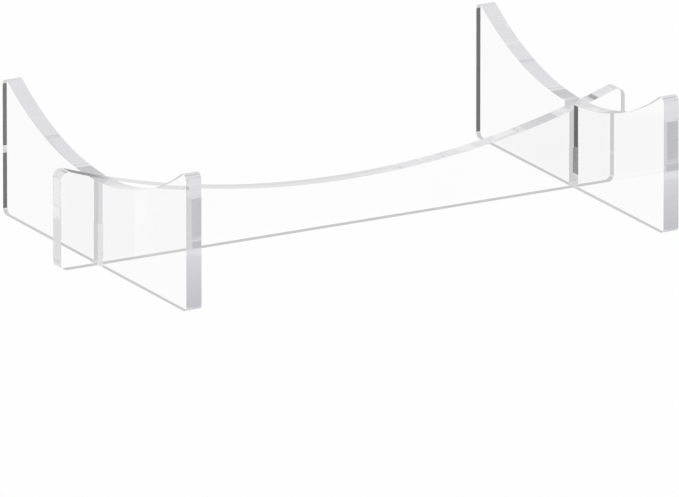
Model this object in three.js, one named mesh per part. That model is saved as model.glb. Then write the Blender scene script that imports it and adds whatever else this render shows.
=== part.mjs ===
// Slot-together display stand for a football: a long rail and two cradles, all cut from one
// thickness of clear acrylic sheet. Millimetres, +Z up, origin at the middle of the stand on
// the surface that it stands on. The rail runs along X and the cradles run along Y.

import * as THREE from 'three';

// The sheet that every board is cut from.
const SHEET = 4;

// The small radius on every bottom corner.
const FOOT_CORNER = 1.5;

// The rail's concave top edge follows the belly of the ball. The lowest point of the edge
// lies a little towards the right cradle.
const RAIL = { width: 150, arcRadius: 225.5, arcLow: 11, arcShift: 1.7, topCorner: 2 };

// The cradles' concave top edges hold the ball, and end in two upright horns.
const CRADLE = { width: 89, arcRadius: 76.8, arcLow: 20.2, arcShift: 0, topCorner: 1.6 };
const CRADLE_SPACING = 126.5;

// Cross joints: the rail is slotted from below and each cradle from above, and the slots meet
// half way up. Every slot is clear of the board that it receives.
const SLOT_MEETING_HEIGHT = 10;
const SLOT_WIDTH = SHEET + 0.3;
const SEAT_GAP = 0.3;

const EDGE_STEPS = 60;
const CORNER_STEPS = 8;

const CLEAR_ACRYLIC = { color: 0xeef0f6, roughness: 0.03, metalness: 0, opacity: 0.35, transparent: true };

// Points along a circular arc, from one angle to another.
function arcPoints(centre, radius, from, to, steps) {
  const clockwise = to < from;
  const curve = new THREE.EllipseCurve(centre.x, centre.y, radius, radius, from, to, clockwise);
  return curve.getPoints(steps);
}

// The circle of a board's concave top edge.
function edgeCircle(board) {
  return { centre: new THREE.Vector2(board.arcShift, board.arcLow + board.arcRadius), radius: board.arcRadius };
}

// Height of the concave edge at a distance from the board's middle.
function edgeHeight(board, x) {
  const { centre, radius } = edgeCircle(board);
  return centre.y - Math.sqrt(radius ** 2 - (x - centre.x) ** 2);
}

// Centre of a top corner's circle, which touches both the board's upright end and its edge.
function topCornerCentre(board, side) {
  const { centre, radius } = edgeCircle(board);
  const x = side * (board.width / 2 - board.topCorner);
  const z = centre.y - Math.sqrt((radius + board.topCorner) ** 2 - (x - centre.x) ** 2);
  return new THREE.Vector2(x, z);
}

// A board's outline, anticlockwise from the left end of its foot: a flat foot, two upright
// ends, a concave top edge and four round corners. The slots' corner points are passed in.
function boardOutline(board, footSlots, edgeSlots) {
  const { centre, radius } = edgeCircle(board);
  const footX = board.width / 2 - FOOT_CORNER;
  const right = topCornerCentre(board, 1);
  const left = topCornerCentre(board, -1);
  const rightAngle = Math.atan2(right.y - centre.y, right.x - centre.x);
  const leftAngle = Math.atan2(left.y - centre.y, left.x - centre.x);
  const edge = arcPoints(centre, radius, rightAngle, leftAngle, EDGE_STEPS).slice(1, -1);
  const inSlot = (point) => edgeSlots.some((slot) => Math.abs(point.x - slot.middle) <= SLOT_WIDTH / 2);
  const edgeWithSlots = edge.filter((point) => !inSlot(point));
  for (const slot of edgeSlots) {
    const after = edgeWithSlots.findIndex((point) => point.x < slot.middle);
    edgeWithSlots.splice(after, 0, ...slot.points);
  }
  const points = [
    ...arcPoints(new THREE.Vector2(-footX, FOOT_CORNER), FOOT_CORNER, Math.PI, Math.PI * 1.5, CORNER_STEPS),
    ...footSlots.flatMap((slot) => slot.points),
    ...arcPoints(new THREE.Vector2(footX, FOOT_CORNER), FOOT_CORNER, -Math.PI / 2, 0, CORNER_STEPS),
    ...arcPoints(right, board.topCorner, 0, rightAngle + Math.PI, CORNER_STEPS),
    ...edgeWithSlots,
    ...arcPoints(left, board.topCorner, leftAngle + Math.PI, Math.PI, CORNER_STEPS),
  ];
  return new THREE.Shape(points);
}

// A slot cut upwards from the foot, as the points that it adds from left to right.
function footSlot(middle) {
  const roof = SLOT_MEETING_HEIGHT + SEAT_GAP / 2;
  const left = middle - SLOT_WIDTH / 2;
  const right = middle + SLOT_WIDTH / 2;
  const corners = [[left, 0], [left, roof], [right, roof], [right, 0]];
  return { middle, points: corners.map(([x, z]) => new THREE.Vector2(x, z)) };
}

// A slot cut downwards from the concave edge, as the points that it adds from right to left.
function edgeSlot(board, middle) {
  const floor = SLOT_MEETING_HEIGHT - SEAT_GAP / 2;
  const left = middle - SLOT_WIDTH / 2;
  const right = middle + SLOT_WIDTH / 2;
  const corners = [[right, edgeHeight(board, right)], [right, floor], [left, floor], [left, edgeHeight(board, left)]];
  return { middle, points: corners.map(([x, z]) => new THREE.Vector2(x, z)) };
}

// A board cut from the sheet, with the sheet's mid-plane at zero.
function cutBoard(name, outline) {
  const geometry = new THREE.ExtrudeGeometry(outline, { depth: SHEET, steps: 1, bevelEnabled: false });
  geometry.translate(0, 0, -SHEET / 2);
  const board = new THREE.Mesh(geometry, new THREE.MeshStandardMaterial(CLEAR_ACRYLIC));
  board.name = name;
  return board;
}

// The rail stands on its foot along X.
function makeRail() {
  const slots = [-CRADLE_SPACING / 2, CRADLE_SPACING / 2].map(footSlot);
  const rail = cutBoard('rail', boardOutline(RAIL, slots, []));
  rail.rotation.x = Math.PI / 2;
  return rail;
}

// A cradle stands on its foot along Y, at its place along the rail.
function makeCradle(name, x) {
  const cradle = cutBoard(name, boardOutline(CRADLE, [], [edgeSlot(CRADLE, 0)]));
  const turn = new THREE.Matrix4();
  turn.makeBasis(new THREE.Vector3(0, 1, 0), new THREE.Vector3(0, 0, 1), new THREE.Vector3(1, 0, 0));
  cradle.rotation.setFromRotationMatrix(turn);
  cradle.position.x = x;
  return cradle;
}

const stand = new THREE.Group();
stand.add(makeRail());
stand.add(makeCradle('left_cradle', -CRADLE_SPACING / 2));
stand.add(makeCradle('right_cradle', CRADLE_SPACING / 2));

export default stand;
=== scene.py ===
# Football display stand: three slotted boards of clear acrylic sheet on a lit white table.
# Metres, in the frame's own axes: the rail runs along X, the cradles along Y, +Z is up.
import math

import bmesh
import bpy
from mathutils import Matrix, Vector


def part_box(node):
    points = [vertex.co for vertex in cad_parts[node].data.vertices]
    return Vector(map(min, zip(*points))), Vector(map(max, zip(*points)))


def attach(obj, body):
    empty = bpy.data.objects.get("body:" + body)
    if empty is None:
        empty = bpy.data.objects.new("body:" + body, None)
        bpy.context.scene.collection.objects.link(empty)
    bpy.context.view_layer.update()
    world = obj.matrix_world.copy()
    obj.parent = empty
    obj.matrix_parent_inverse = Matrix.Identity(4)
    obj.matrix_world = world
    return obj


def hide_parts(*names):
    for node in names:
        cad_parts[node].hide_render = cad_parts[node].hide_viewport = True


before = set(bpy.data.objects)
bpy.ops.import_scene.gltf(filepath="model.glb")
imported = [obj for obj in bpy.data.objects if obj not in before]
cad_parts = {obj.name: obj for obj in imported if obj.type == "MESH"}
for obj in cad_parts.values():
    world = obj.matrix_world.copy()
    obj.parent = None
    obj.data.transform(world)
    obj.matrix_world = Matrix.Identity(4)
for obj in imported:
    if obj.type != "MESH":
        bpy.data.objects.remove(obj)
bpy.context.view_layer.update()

MM = 0.001

# The boards' curves, as the part's own drawing gives them.
FOOT_CORNER = 1.5 * MM
RAIL_ARC_RADIUS = 225.5 * MM
RAIL_ARC_LOW = 11 * MM
RAIL_ARC_SHIFT = 1.7 * MM
RAIL_TOP_CORNER = 2 * MM
CRADLE_ARC_RADIUS = 76.8 * MM
CRADLE_ARC_LOW = 20.2 * MM
CRADLE_HORN = 1.6 * MM

# The acrylic: how much it bends light, and how much its sheet faces mirror when looked at squarely.
ACRYLIC_IOR = 1.9
SHEET_REFLECTION = 0.08

# Half-lap joints: where the two slots meet, and how clear they are of the other board.
SLOT_MEETING_HEIGHT = 10 * MM
SLOT_CLEARANCE = 0.3 * MM

CORNER_STEPS = 14
RAIL_ARC_STEPS = 150
CRADLE_ARC_STEPS = 110

# Board faces meet in a sharp line past this angle, and a face of the sheet has a normal that lies
# at least this much along the board's thickness.
SHARP_ANGLE = math.radians(20)
SHEET_FACE_NORMAL = 0.999

# Clouds and rubs on the sheet faces: how many to the metre, a cloud's tone, and where a rub starts
# and is full in its pattern and how rough it is.
CLOUDS = (60, 60, 60)
CLOUD_LEVEL = 0.99
RUBS = (300, 300, 1500)
RUB_RAMP = (0.6, 0.8)
RUB_ROUGHNESS = 0.01

# Saw marks on the cut edges: how many to the metre along an edge and through the sheet, a mark's
# tone, its ramp and roughness as for a rub, and how deep and strong it is as a bump.
SAW_MARKS = 1600
SAW_WANDER = 60
SAW_MARK_LEVEL = 0.95
SAW_MARK_RAMP = (0.55, 0.8)
SAW_MARK_ROUGHNESS = 0.02
SAW_MARK_DEPTH = 0.02 * MM
SAW_MARK_STRENGTH = 0.05

# A board is drawn in the XZ plane, seen from -Y, with its thickness along Y.
TOWARDS_VIEWER = Vector((0, -1, 0))


def line_to(bm, tip, x, z):
    """Draws a straight stretch of outline and returns its new open end."""
    corner = bm.verts.new((x, 0, z))
    bm.edges.new((tip, corner))
    return corner


def turn_about(bm, tip, centre, angle, steps):
    """Draws an arc on from the outline's open end, anticlockwise for a positive angle."""
    spun = bmesh.ops.spin(
        bm, geom=[tip], cent=(centre.x, 0, centre.y), axis=TOWARDS_VIEWER, angle=angle, steps=steps
    )
    return next(v for v in spun["geom_last"] if isinstance(v, bmesh.types.BMVert))


class Board:
    """The outline of one board: a flat foot, upright ends and a concave top edge."""

    def __init__(self, width, arc_radius, arc_low, arc_shift, top_corner, arc_steps):
        self.end = width / 2
        self.radius = arc_radius
        self.middle = Vector((arc_shift, arc_low + arc_radius))
        self.top_corner = top_corner
        self.arc_steps = arc_steps

    def corner_centre(self, side):
        """Centre of the round corner that touches both an upright end and the concave edge."""
        x = side * (self.end - self.top_corner)
        reach = self.radius + self.top_corner
        return Vector((x, self.middle.y - math.sqrt(reach**2 - (x - self.middle.x) ** 2)))

    def angle_of(self, point):
        """Direction of a point from the middle of the concave edge's circle."""
        away = point - self.middle
        return math.atan2(away.y, away.x)

    def edge_point(self, x):
        """The point of the concave edge above or below x."""
        return Vector((x, self.middle.y - math.sqrt(self.radius**2 - (x - self.middle.x) ** 2)))

    def draw(self, bm, foot_slots, edge_slots):
        """Draws the outline anticlockwise from the left end of its foot and fills it."""
        quarter = math.pi / 2
        foot = self.end - FOOT_CORNER
        right, left = self.corner_centre(1), self.corner_centre(-1)
        start = bm.verts.new((-self.end, 0, FOOT_CORNER))
        tip = turn_about(bm, start, Vector((-foot, FOOT_CORNER)), quarter, CORNER_STEPS)
        for slot in foot_slots:
            for x, z in ((slot.left, 0), (slot.left, slot.stop), (slot.right, slot.stop), (slot.right, 0)):
                tip = line_to(bm, tip, x, z)
        tip = line_to(bm, tip, foot, 0)
        tip = turn_about(bm, tip, Vector((foot, FOOT_CORNER)), quarter, CORNER_STEPS)
        tip = line_to(bm, tip, self.end, right.y)
        tip = turn_about(bm, tip, right, self.angle_of(right) + math.pi, CORNER_STEPS)
        reached = self.angle_of(right)
        for slot in edge_slots:
            tip = self.follow_edge(bm, tip, reached, self.angle_of(self.edge_point(slot.right)))
            tip = line_to(bm, tip, slot.right, slot.stop)
            tip = line_to(bm, tip, slot.left, slot.stop)
            tip = line_to(bm, tip, *self.edge_point(slot.left))
            reached = self.angle_of(self.edge_point(slot.left))
        tip = self.follow_edge(bm, tip, reached, self.angle_of(left))
        tip = turn_about(bm, tip, left, -self.angle_of(left), CORNER_STEPS)
        bm.edges.new((tip, start))
        bmesh.ops.contextual_create(bm, geom=bm.edges[:])

    def follow_edge(self, bm, tip, from_angle, to_angle):
        """Draws the concave edge from one direction to another."""
        whole = self.angle_of(self.corner_centre(-1)) - self.angle_of(self.corner_centre(1))
        steps = max(1, round(self.arc_steps * (to_angle - from_angle) / whole))
        return turn_about(bm, tip, self.middle, to_angle - from_angle, steps)


class Slot:
    """A slot around a board of the given thickness, cut as far as the height where it stops."""

    def __init__(self, middle, thickness, stop):
        self.left = middle - (thickness + SLOT_CLEARANCE) / 2
        self.right = middle + (thickness + SLOT_CLEARANCE) / 2
        self.stop = stop


def cut_from_sheet(bm, thickness):
    """Gives the outline the sheet's thickness, half to each side of its own plane."""
    drawn = bmesh.ops.extrude_face_region(bm, geom=bm.faces[:])
    far_side = [v for v in drawn["geom"] if isinstance(v, bmesh.types.BMVert)]
    bmesh.ops.translate(bm, verts=far_side, vec=(0, thickness, 0))
    bmesh.ops.translate(bm, verts=bm.verts, vec=(0, -thickness / 2, 0))
    bmesh.ops.recalc_face_normals(bm, faces=bm.faces)


def finish_board(bm, name, place, materials):
    """Puts a board in its place, sorts its faces from its cut edges, and makes the object."""
    for face in bm.faces:
        is_sheet_face = abs(face.normal.y) > SHEET_FACE_NORMAL
        face.material_index = 0 if is_sheet_face else 1
        face.smooth = not is_sheet_face
    bmesh.ops.transform(bm, matrix=place, verts=bm.verts)
    mesh = bpy.data.meshes.new(name)
    bm.to_mesh(mesh)
    bm.free()
    mesh.set_sharp_from_angle(angle=SHARP_ANGLE)
    for material in materials:
        mesh.materials.append(material)
    board = bpy.data.objects.new(name, mesh)
    bpy.context.scene.collection.objects.link(board)
    return board


def make_rail(materials):
    low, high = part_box("rail")
    outline = Board(
        high.x - low.x, RAIL_ARC_RADIUS, RAIL_ARC_LOW, RAIL_ARC_SHIFT, RAIL_TOP_CORNER, RAIL_ARC_STEPS
    )
    slots = []
    for node in ("left_cradle", "right_cradle"):
        near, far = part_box(node)
        slots.append(Slot((near.x + far.x) / 2, far.x - near.x, SLOT_MEETING_HEIGHT + SLOT_CLEARANCE / 2))
    bm = bmesh.new()
    outline.draw(bm, slots, [])
    cut_from_sheet(bm, high.y - low.y)
    rail = finish_board(bm, "clear_rail", Matrix.Identity(4), materials)
    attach(rail, "rail")
    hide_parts("rail")


def make_cradle(node, materials):
    low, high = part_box(node)
    outline = Board(high.y - low.y, CRADLE_ARC_RADIUS, CRADLE_ARC_LOW, 0, CRADLE_HORN, CRADLE_ARC_STEPS)
    slot = Slot(0, high.x - low.x, SLOT_MEETING_HEIGHT - SLOT_CLEARANCE / 2)
    bm = bmesh.new()
    outline.draw(bm, [], [slot])
    cut_from_sheet(bm, high.x - low.x)
    quarter_turn = Matrix.Rotation(math.pi / 2, 4, "Z")
    place = Matrix.Translation(((low.x + high.x) / 2, 0, 0)) @ quarter_turn
    cradle = finish_board(bm, "clear_" + node, place, materials)
    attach(cradle, node)
    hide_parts(node)


def node_maths(tree, operation, *values):
    """Adds a maths node whose inputs are sockets or plain numbers, and returns its output."""
    node = tree.nodes.new("ShaderNodeMath")
    node.operation = operation
    for slot, value in zip(node.inputs, values):
        if isinstance(value, bpy.types.NodeSocket):
            tree.links.new(value, slot)
        else:
            slot.default_value = value
    return node.outputs[0]


def mix_tones(tree, factor, first, second):
    """Mixes two tones, which are sockets or grey levels with a touch of blue."""
    node = tree.nodes.new("ShaderNodeMix")
    node.data_type = "RGBA"
    for slot, value in ((node.inputs[0], factor), (node.inputs[6], first), (node.inputs[7], second)):
        if isinstance(value, bpy.types.NodeSocket):
            tree.links.new(value, slot)
        elif slot.type == "RGBA":
            slot.default_value = (value.level, value.level, value.level * value.blue, 1)
        else:
            slot.default_value = value
    return node.outputs[2]


def ramp(tree, value, low, high, top=1.0):
    """0 below low, top above high, and smooth between them."""
    node = tree.nodes.new("ShaderNodeMapRange")
    node.interpolation_type = "SMOOTHSTEP"
    tree.links.new(value, node.inputs["Value"])
    node.inputs["From Min"].default_value = low
    node.inputs["From Max"].default_value = high
    node.inputs["To Max"].default_value = top
    return node.outputs["Result"]


class Tone:
    """A plain level of light, with a touch more or less blue."""

    def __init__(self, level, blue=1.0):
        self.level = level
        self.blue = blue


def pattern(tree, stretch, detail):
    """Noise from 0 to 1 with the given number of marks to the metre along X, Y and Z."""
    mapping = tree.nodes.new("ShaderNodeMapping")
    tree.links.new(tree.nodes.new("ShaderNodeTexCoord").outputs["Object"], mapping.inputs["Vector"])
    mapping.inputs["Scale"].default_value = stretch
    noise = tree.nodes.new("ShaderNodeTexNoise")
    tree.links.new(mapping.outputs["Vector"], noise.inputs["Vector"])
    noise.inputs["Scale"].default_value = 1
    noise.inputs["Detail"].default_value = detail
    return noise.outputs["Fac"]


def make_acrylic(name, reflection):
    """Clear acrylic. Reflection scales how much a face mirrors when it is looked at squarely."""
    material = bpy.data.materials.new(name)
    material.use_nodes = True
    shader = material.node_tree.nodes["Principled BSDF"]
    shader.inputs["Transmission Weight"].default_value = 1
    shader.inputs["IOR"].default_value = ACRYLIC_IOR
    shader.inputs["Specular Tint"].default_value = (reflection, reflection, reflection, 1)
    return material


def make_sheet_face(name):
    """The glossy face of cast sheet, faintly cloudy and lightly rubbed."""
    material = make_acrylic(name, SHEET_REFLECTION)
    tree = material.node_tree
    shader = tree.nodes["Principled BSDF"]
    cloud = pattern(tree, CLOUDS, 2)
    tree.links.new(mix_tones(tree, cloud, Tone(1), Tone(CLOUD_LEVEL)), shader.inputs["Base Color"])
    rub = pattern(tree, RUBS, 4)
    tree.links.new(ramp(tree, rub, *RUB_RAMP, RUB_ROUGHNESS), shader.inputs["Roughness"])
    return material


def make_cut_edge(name, along, through):
    """A flame-polished cut edge, whose faint saw marks run through the thickness of the sheet."""
    material = make_acrylic(name, 1)
    tree = material.node_tree
    shader = tree.nodes["Principled BSDF"]
    stretch = along * SAW_MARKS + through * SAW_WANDER + Vector((0, 0, SAW_MARKS))
    marks = pattern(tree, stretch, 3)
    tree.links.new(mix_tones(tree, marks, Tone(1), Tone(SAW_MARK_LEVEL)), shader.inputs["Base Color"])
    tree.links.new(ramp(tree, marks, *SAW_MARK_RAMP, SAW_MARK_ROUGHNESS), shader.inputs["Roughness"])
    bump = tree.nodes.new("ShaderNodeBump")
    bump.inputs["Strength"].default_value = SAW_MARK_STRENGTH
    bump.inputs["Distance"].default_value = SAW_MARK_DEPTH
    tree.links.new(marks, bump.inputs["Height"])
    tree.links.new(bump.outputs["Normal"], shader.inputs["Normal"])
    return material


# The studio is white for light that reaches the camera directly or straight through a board.
# Light that a board has bounced about inside comes from the studio's greyer parts.
STUDIO_WHITE = Tone(0.99)
ONCE_FROM_BELOW = Tone(0.62)
ONCE_FROM_ABOVE = Tone(0.58)
FEW_BOUNCES = Tone(0.62, 1.02)
PIPED_FROM_BELOW = Tone(0.46, 1.06)
PIPED_FROM_ABOVE = Tone(0.7, 1.05)
MUCH_BOUNCED = Tone(0.72, 1.03)
LONG_PIPED_FRONT = Tone(0.86)
LONG_PIPED_BACK = Tone(0.72, 1.03)

# From how many bounces inside the boards light counts as few times bounced, piped, and so on.
FEW, PIPED, MUCH, LONG = 2, 6, 10, 16

# Light is followed this far, because the boards pipe it from edge to edge.
MOST_BOUNCES = 200

# Where one part of the studio gives way to the next, as the sine of an angle: halfway, between
# below and above or between front and back, and further up for piped light.
HALFWAY = (-0.1, 0.1)
PIPED_RISE = (0.1, 0.55)

# The bright band just above the horizon: the height of its middle, and how far from there it starts
# to fade and ends.
GLOW_HEIGHT = 0.05
GLOW_FADE = (0.06, 0.1)


class Card:
    """A round card in the studio: its tone, its direction, and the cosines at its rim and inside it."""

    def __init__(self, tone, towards, rim, inside):
        self.tone = tone
        self.towards = Vector(towards).normalized()
        self.rim = rim
        self.inside = inside


FRONT_CARD = Card(Tone(0.06), (0.464, -0.836, -0.292), 0.9, 0.96)
BACK_CARD = Card(Tone(0.2), (0.22, 0.82, 0.52), 0.97, 0.985)
LOW_CARD = Card(Tone(0.05), (0.58, 0.813, -0.055), 0.9965, 0.9985)

# The table: how far it reaches, how far under the boards it lies, how near a board still lights it,
# and from how far away its mirror image is left out.
TABLE_REACH = 1.5
TABLE_DROP = 0.2 * MM
TABLE_TOUCH = 3 * MM
TABLE_MIRRORED_TO = 150 * MM

# Light from inside the boards sees the table only in front and to the left of this slanted line.
TABLE_LINE = Vector((0.874, 0.485))
TABLE_LINE_FROM_MIDDLE = -43 * MM

# The camera: its turn about Z and its rise, lens and sensor in millimetres, the nearest and farthest
# things it sees, the height of its view at the stand, and where the view's middle lies from the
# stand's origin, across and up.
CAMERA_TURN = math.radians(-29.018)
CAMERA_RISE = math.radians(17.142)
CAMERA_LENS = 1244
CAMERA_SENSOR = 24
CAMERA_NEAREST = 0.5
CAMERA_FARTHEST = 100
VIEW_HEIGHT = 115.77 * MM
VIEW_MIDDLE = Vector((-0.202 * MM, -6.004 * MM))


class Light:
    """What a studio surface is told of the light that reaches it from the boards."""

    def __init__(self, tree):
        path = tree.nodes.new("ShaderNodeLightPath")
        self.tree = tree
        self.mirrored = node_maths(tree, "GREATER_THAN", path.outputs["Glossy Depth"], 0.5)
        entered = node_maths(tree, "GREATER_THAN", path.outputs["Transmission Depth"], 0.5)
        self.bounces = node_maths(tree, "MULTIPLY", entered, path.outputs["Glossy Depth"])
        self.inside = self.at_least(1)
        self.length = path.outputs["Ray Length"]

    def at_least(self, count):
        """1 for light with at least this many bounces inside the boards."""
        return node_maths(self.tree, "GREATER_THAN", self.bounces, count - 0.5)

    def tone(self, mirrored, once, piped, long):
        """The tone for light that was mirrored, bounced once inside a board, or piped along one."""
        bounced = once
        for count, tone in ((FEW, FEW_BOUNCES), (PIPED, piped), (MUCH, MUCH_BOUNCED), (LONG, long)):
            bounced = mix_tones(self.tree, self.at_least(count), bounced, tone)
        plain = mix_tones(self.tree, self.mirrored, STUDIO_WHITE, mirrored)
        return mix_tones(self.tree, self.inside, plain, bounced)


def put_up(tree, card, direction, tone):
    """Hides a tone behind a card, with a soft rim."""
    node = tree.nodes.new("ShaderNodeVectorMath")
    node.operation = "DOT_PRODUCT"
    tree.links.new(direction, node.inputs[0])
    node.inputs[1].default_value = card.towards
    return mix_tones(tree, ramp(tree, node.outputs["Value"], card.rim, card.inside), tone, card.tone)


def make_studio():
    """A white room with three cards: a dark one in front, a grey one behind and a small low one."""
    world = bpy.data.worlds.new("studio")
    bpy.context.scene.world = world
    world.use_nodes = True
    tree = world.node_tree
    direction = tree.nodes.new("ShaderNodeTexCoord").outputs["Generated"]
    split = tree.nodes.new("ShaderNodeSeparateXYZ")
    tree.links.new(direction, split.inputs[0])
    height = split.outputs["Z"]
    once = mix_tones(tree, ramp(tree, height, *HALFWAY), ONCE_FROM_BELOW, ONCE_FROM_ABOVE)
    once = put_up(tree, FRONT_CARD, direction, once)
    from_glow = node_maths(tree, "ABSOLUTE", node_maths(tree, "SUBTRACT", height, GLOW_HEIGHT))
    once = mix_tones(tree, ramp(tree, from_glow, *GLOW_FADE), STUDIO_WHITE, once)
    piped = mix_tones(tree, ramp(tree, height, *PIPED_RISE), PIPED_FROM_BELOW, PIPED_FROM_ABOVE)
    piped = put_up(tree, BACK_CARD, direction, piped)
    long = mix_tones(tree, ramp(tree, split.outputs["Y"], *HALFWAY), LONG_PIPED_FRONT, LONG_PIPED_BACK)
    long = put_up(tree, BACK_CARD, direction, long)
    mirrored = put_up(tree, LOW_CARD, direction, STUDIO_WHITE)
    tree.links.new(Light(tree).tone(mirrored, once, piped, long), tree.nodes["Background"].inputs["Color"])


def table_clearness(tree, light):
    """1 where the table lets light through to the studio, 0 where it shows."""
    split = tree.nodes.new("ShaderNodeSeparateXYZ")
    tree.links.new(tree.nodes.new("ShaderNodeTexCoord").outputs["Object"], split.inputs[0])
    x, y = split.outputs["X"], split.outputs["Y"]
    along_x = node_maths(tree, "MULTIPLY", x, TABLE_LINE.x)
    across = node_maths(tree, "ADD", along_x, node_maths(tree, "MULTIPLY", y, TABLE_LINE.y))
    left_of_line = node_maths(tree, "LESS_THAN", across, TABLE_LINE_FROM_MIDDLE)
    in_front = node_maths(tree, "LESS_THAN", y, 0)
    touching = node_maths(tree, "LESS_THAN", light.length, TABLE_TOUCH)
    lit = node_maths(tree, "MAXIMUM", touching, node_maths(tree, "MULTIPLY", left_of_line, in_front))
    passing = node_maths(tree, "MULTIPLY", light.inside, node_maths(tree, "SUBTRACT", 1.0, lit))
    away = node_maths(tree, "GREATER_THAN", light.length, TABLE_MIRRORED_TO)
    return node_maths(tree, "MAXIMUM", passing, node_maths(tree, "MULTIPLY", light.mirrored, away))


def make_table_white():
    """White that glows evenly, so that it shows no shadow, and is clear where it shouldn't be seen."""
    material = bpy.data.materials.new("table_white")
    material.use_nodes = True
    tree = material.node_tree
    tree.nodes.clear()
    light = Light(tree)
    glow = tree.nodes.new("ShaderNodeEmission")
    tone = light.tone(STUDIO_WHITE, MUCH_BOUNCED, MUCH_BOUNCED, MUCH_BOUNCED)
    tree.links.new(tone, glow.inputs["Color"])
    mix = tree.nodes.new("ShaderNodeMixShader")
    tree.links.new(table_clearness(tree, light), mix.inputs[0])
    tree.links.new(glow.outputs[0], mix.inputs[1])
    tree.links.new(tree.nodes.new("ShaderNodeBsdfTransparent").outputs[0], mix.inputs[2])
    tree.links.new(mix.outputs[0], tree.nodes.new("ShaderNodeOutputMaterial").inputs["Surface"])
    return material


def make_table():
    bm = bmesh.new()
    bmesh.ops.create_grid(bm, x_segments=1, y_segments=1, size=TABLE_REACH)
    bmesh.ops.translate(bm, verts=bm.verts, vec=(0, 0, -TABLE_DROP))
    mesh = bpy.data.meshes.new("table")
    bm.to_mesh(mesh)
    bm.free()
    mesh.materials.append(make_table_white())
    table = bpy.data.objects.new("table", mesh)
    bpy.context.scene.collection.objects.link(table)


def make_camera():
    """A long lens, so that the boards look almost as they do in a parallel drawing."""
    across = math.cos(CAMERA_RISE)
    back = Vector((math.sin(CAMERA_TURN) * across, -math.cos(CAMERA_TURN) * across, math.sin(CAMERA_RISE)))
    right = Vector((math.cos(CAMERA_TURN), math.sin(CAMERA_TURN), 0))
    up = back.cross(right)
    data = bpy.data.cameras.new("camera")
    data.lens = CAMERA_LENS
    data.sensor_height = CAMERA_SENSOR
    data.sensor_fit = "VERTICAL"
    data.clip_start = CAMERA_NEAREST
    data.clip_end = CAMERA_FARTHEST
    camera = bpy.data.objects.new("camera", data)
    distance = CAMERA_LENS / CAMERA_SENSOR * VIEW_HEIGHT
    camera.location = right * VIEW_MIDDLE.x + up * VIEW_MIDDLE.y + back * distance
    camera.rotation_euler = (math.pi / 2 - CAMERA_RISE, 0, CAMERA_TURN)
    bpy.context.scene.collection.objects.link(camera)
    bpy.context.scene.camera = camera


def follow_light():
    """Lets light bounce often enough to leave the boards, and shows tones as they are."""
    scene = bpy.context.scene
    scene.view_settings.view_transform = "Standard"
    scene.cycles.max_bounces = MOST_BOUNCES
    scene.cycles.transmission_bounces = MOST_BOUNCES
    scene.cycles.glossy_bounces = MOST_BOUNCES


make_camera()
sheet_face = make_sheet_face("acrylic_sheet")
make_rail([sheet_face, make_cut_edge("acrylic_rail_edge", Vector((1, 0, 0)), Vector((0, 1, 0)))])
cradle_edge = make_cut_edge("acrylic_cradle_edge", Vector((0, 1, 0)), Vector((1, 0, 0)))
for node in ("left_cradle", "right_cradle"):
    make_cradle(node, [sheet_face, cradle_edge])
make_studio()
make_table()
follow_light()
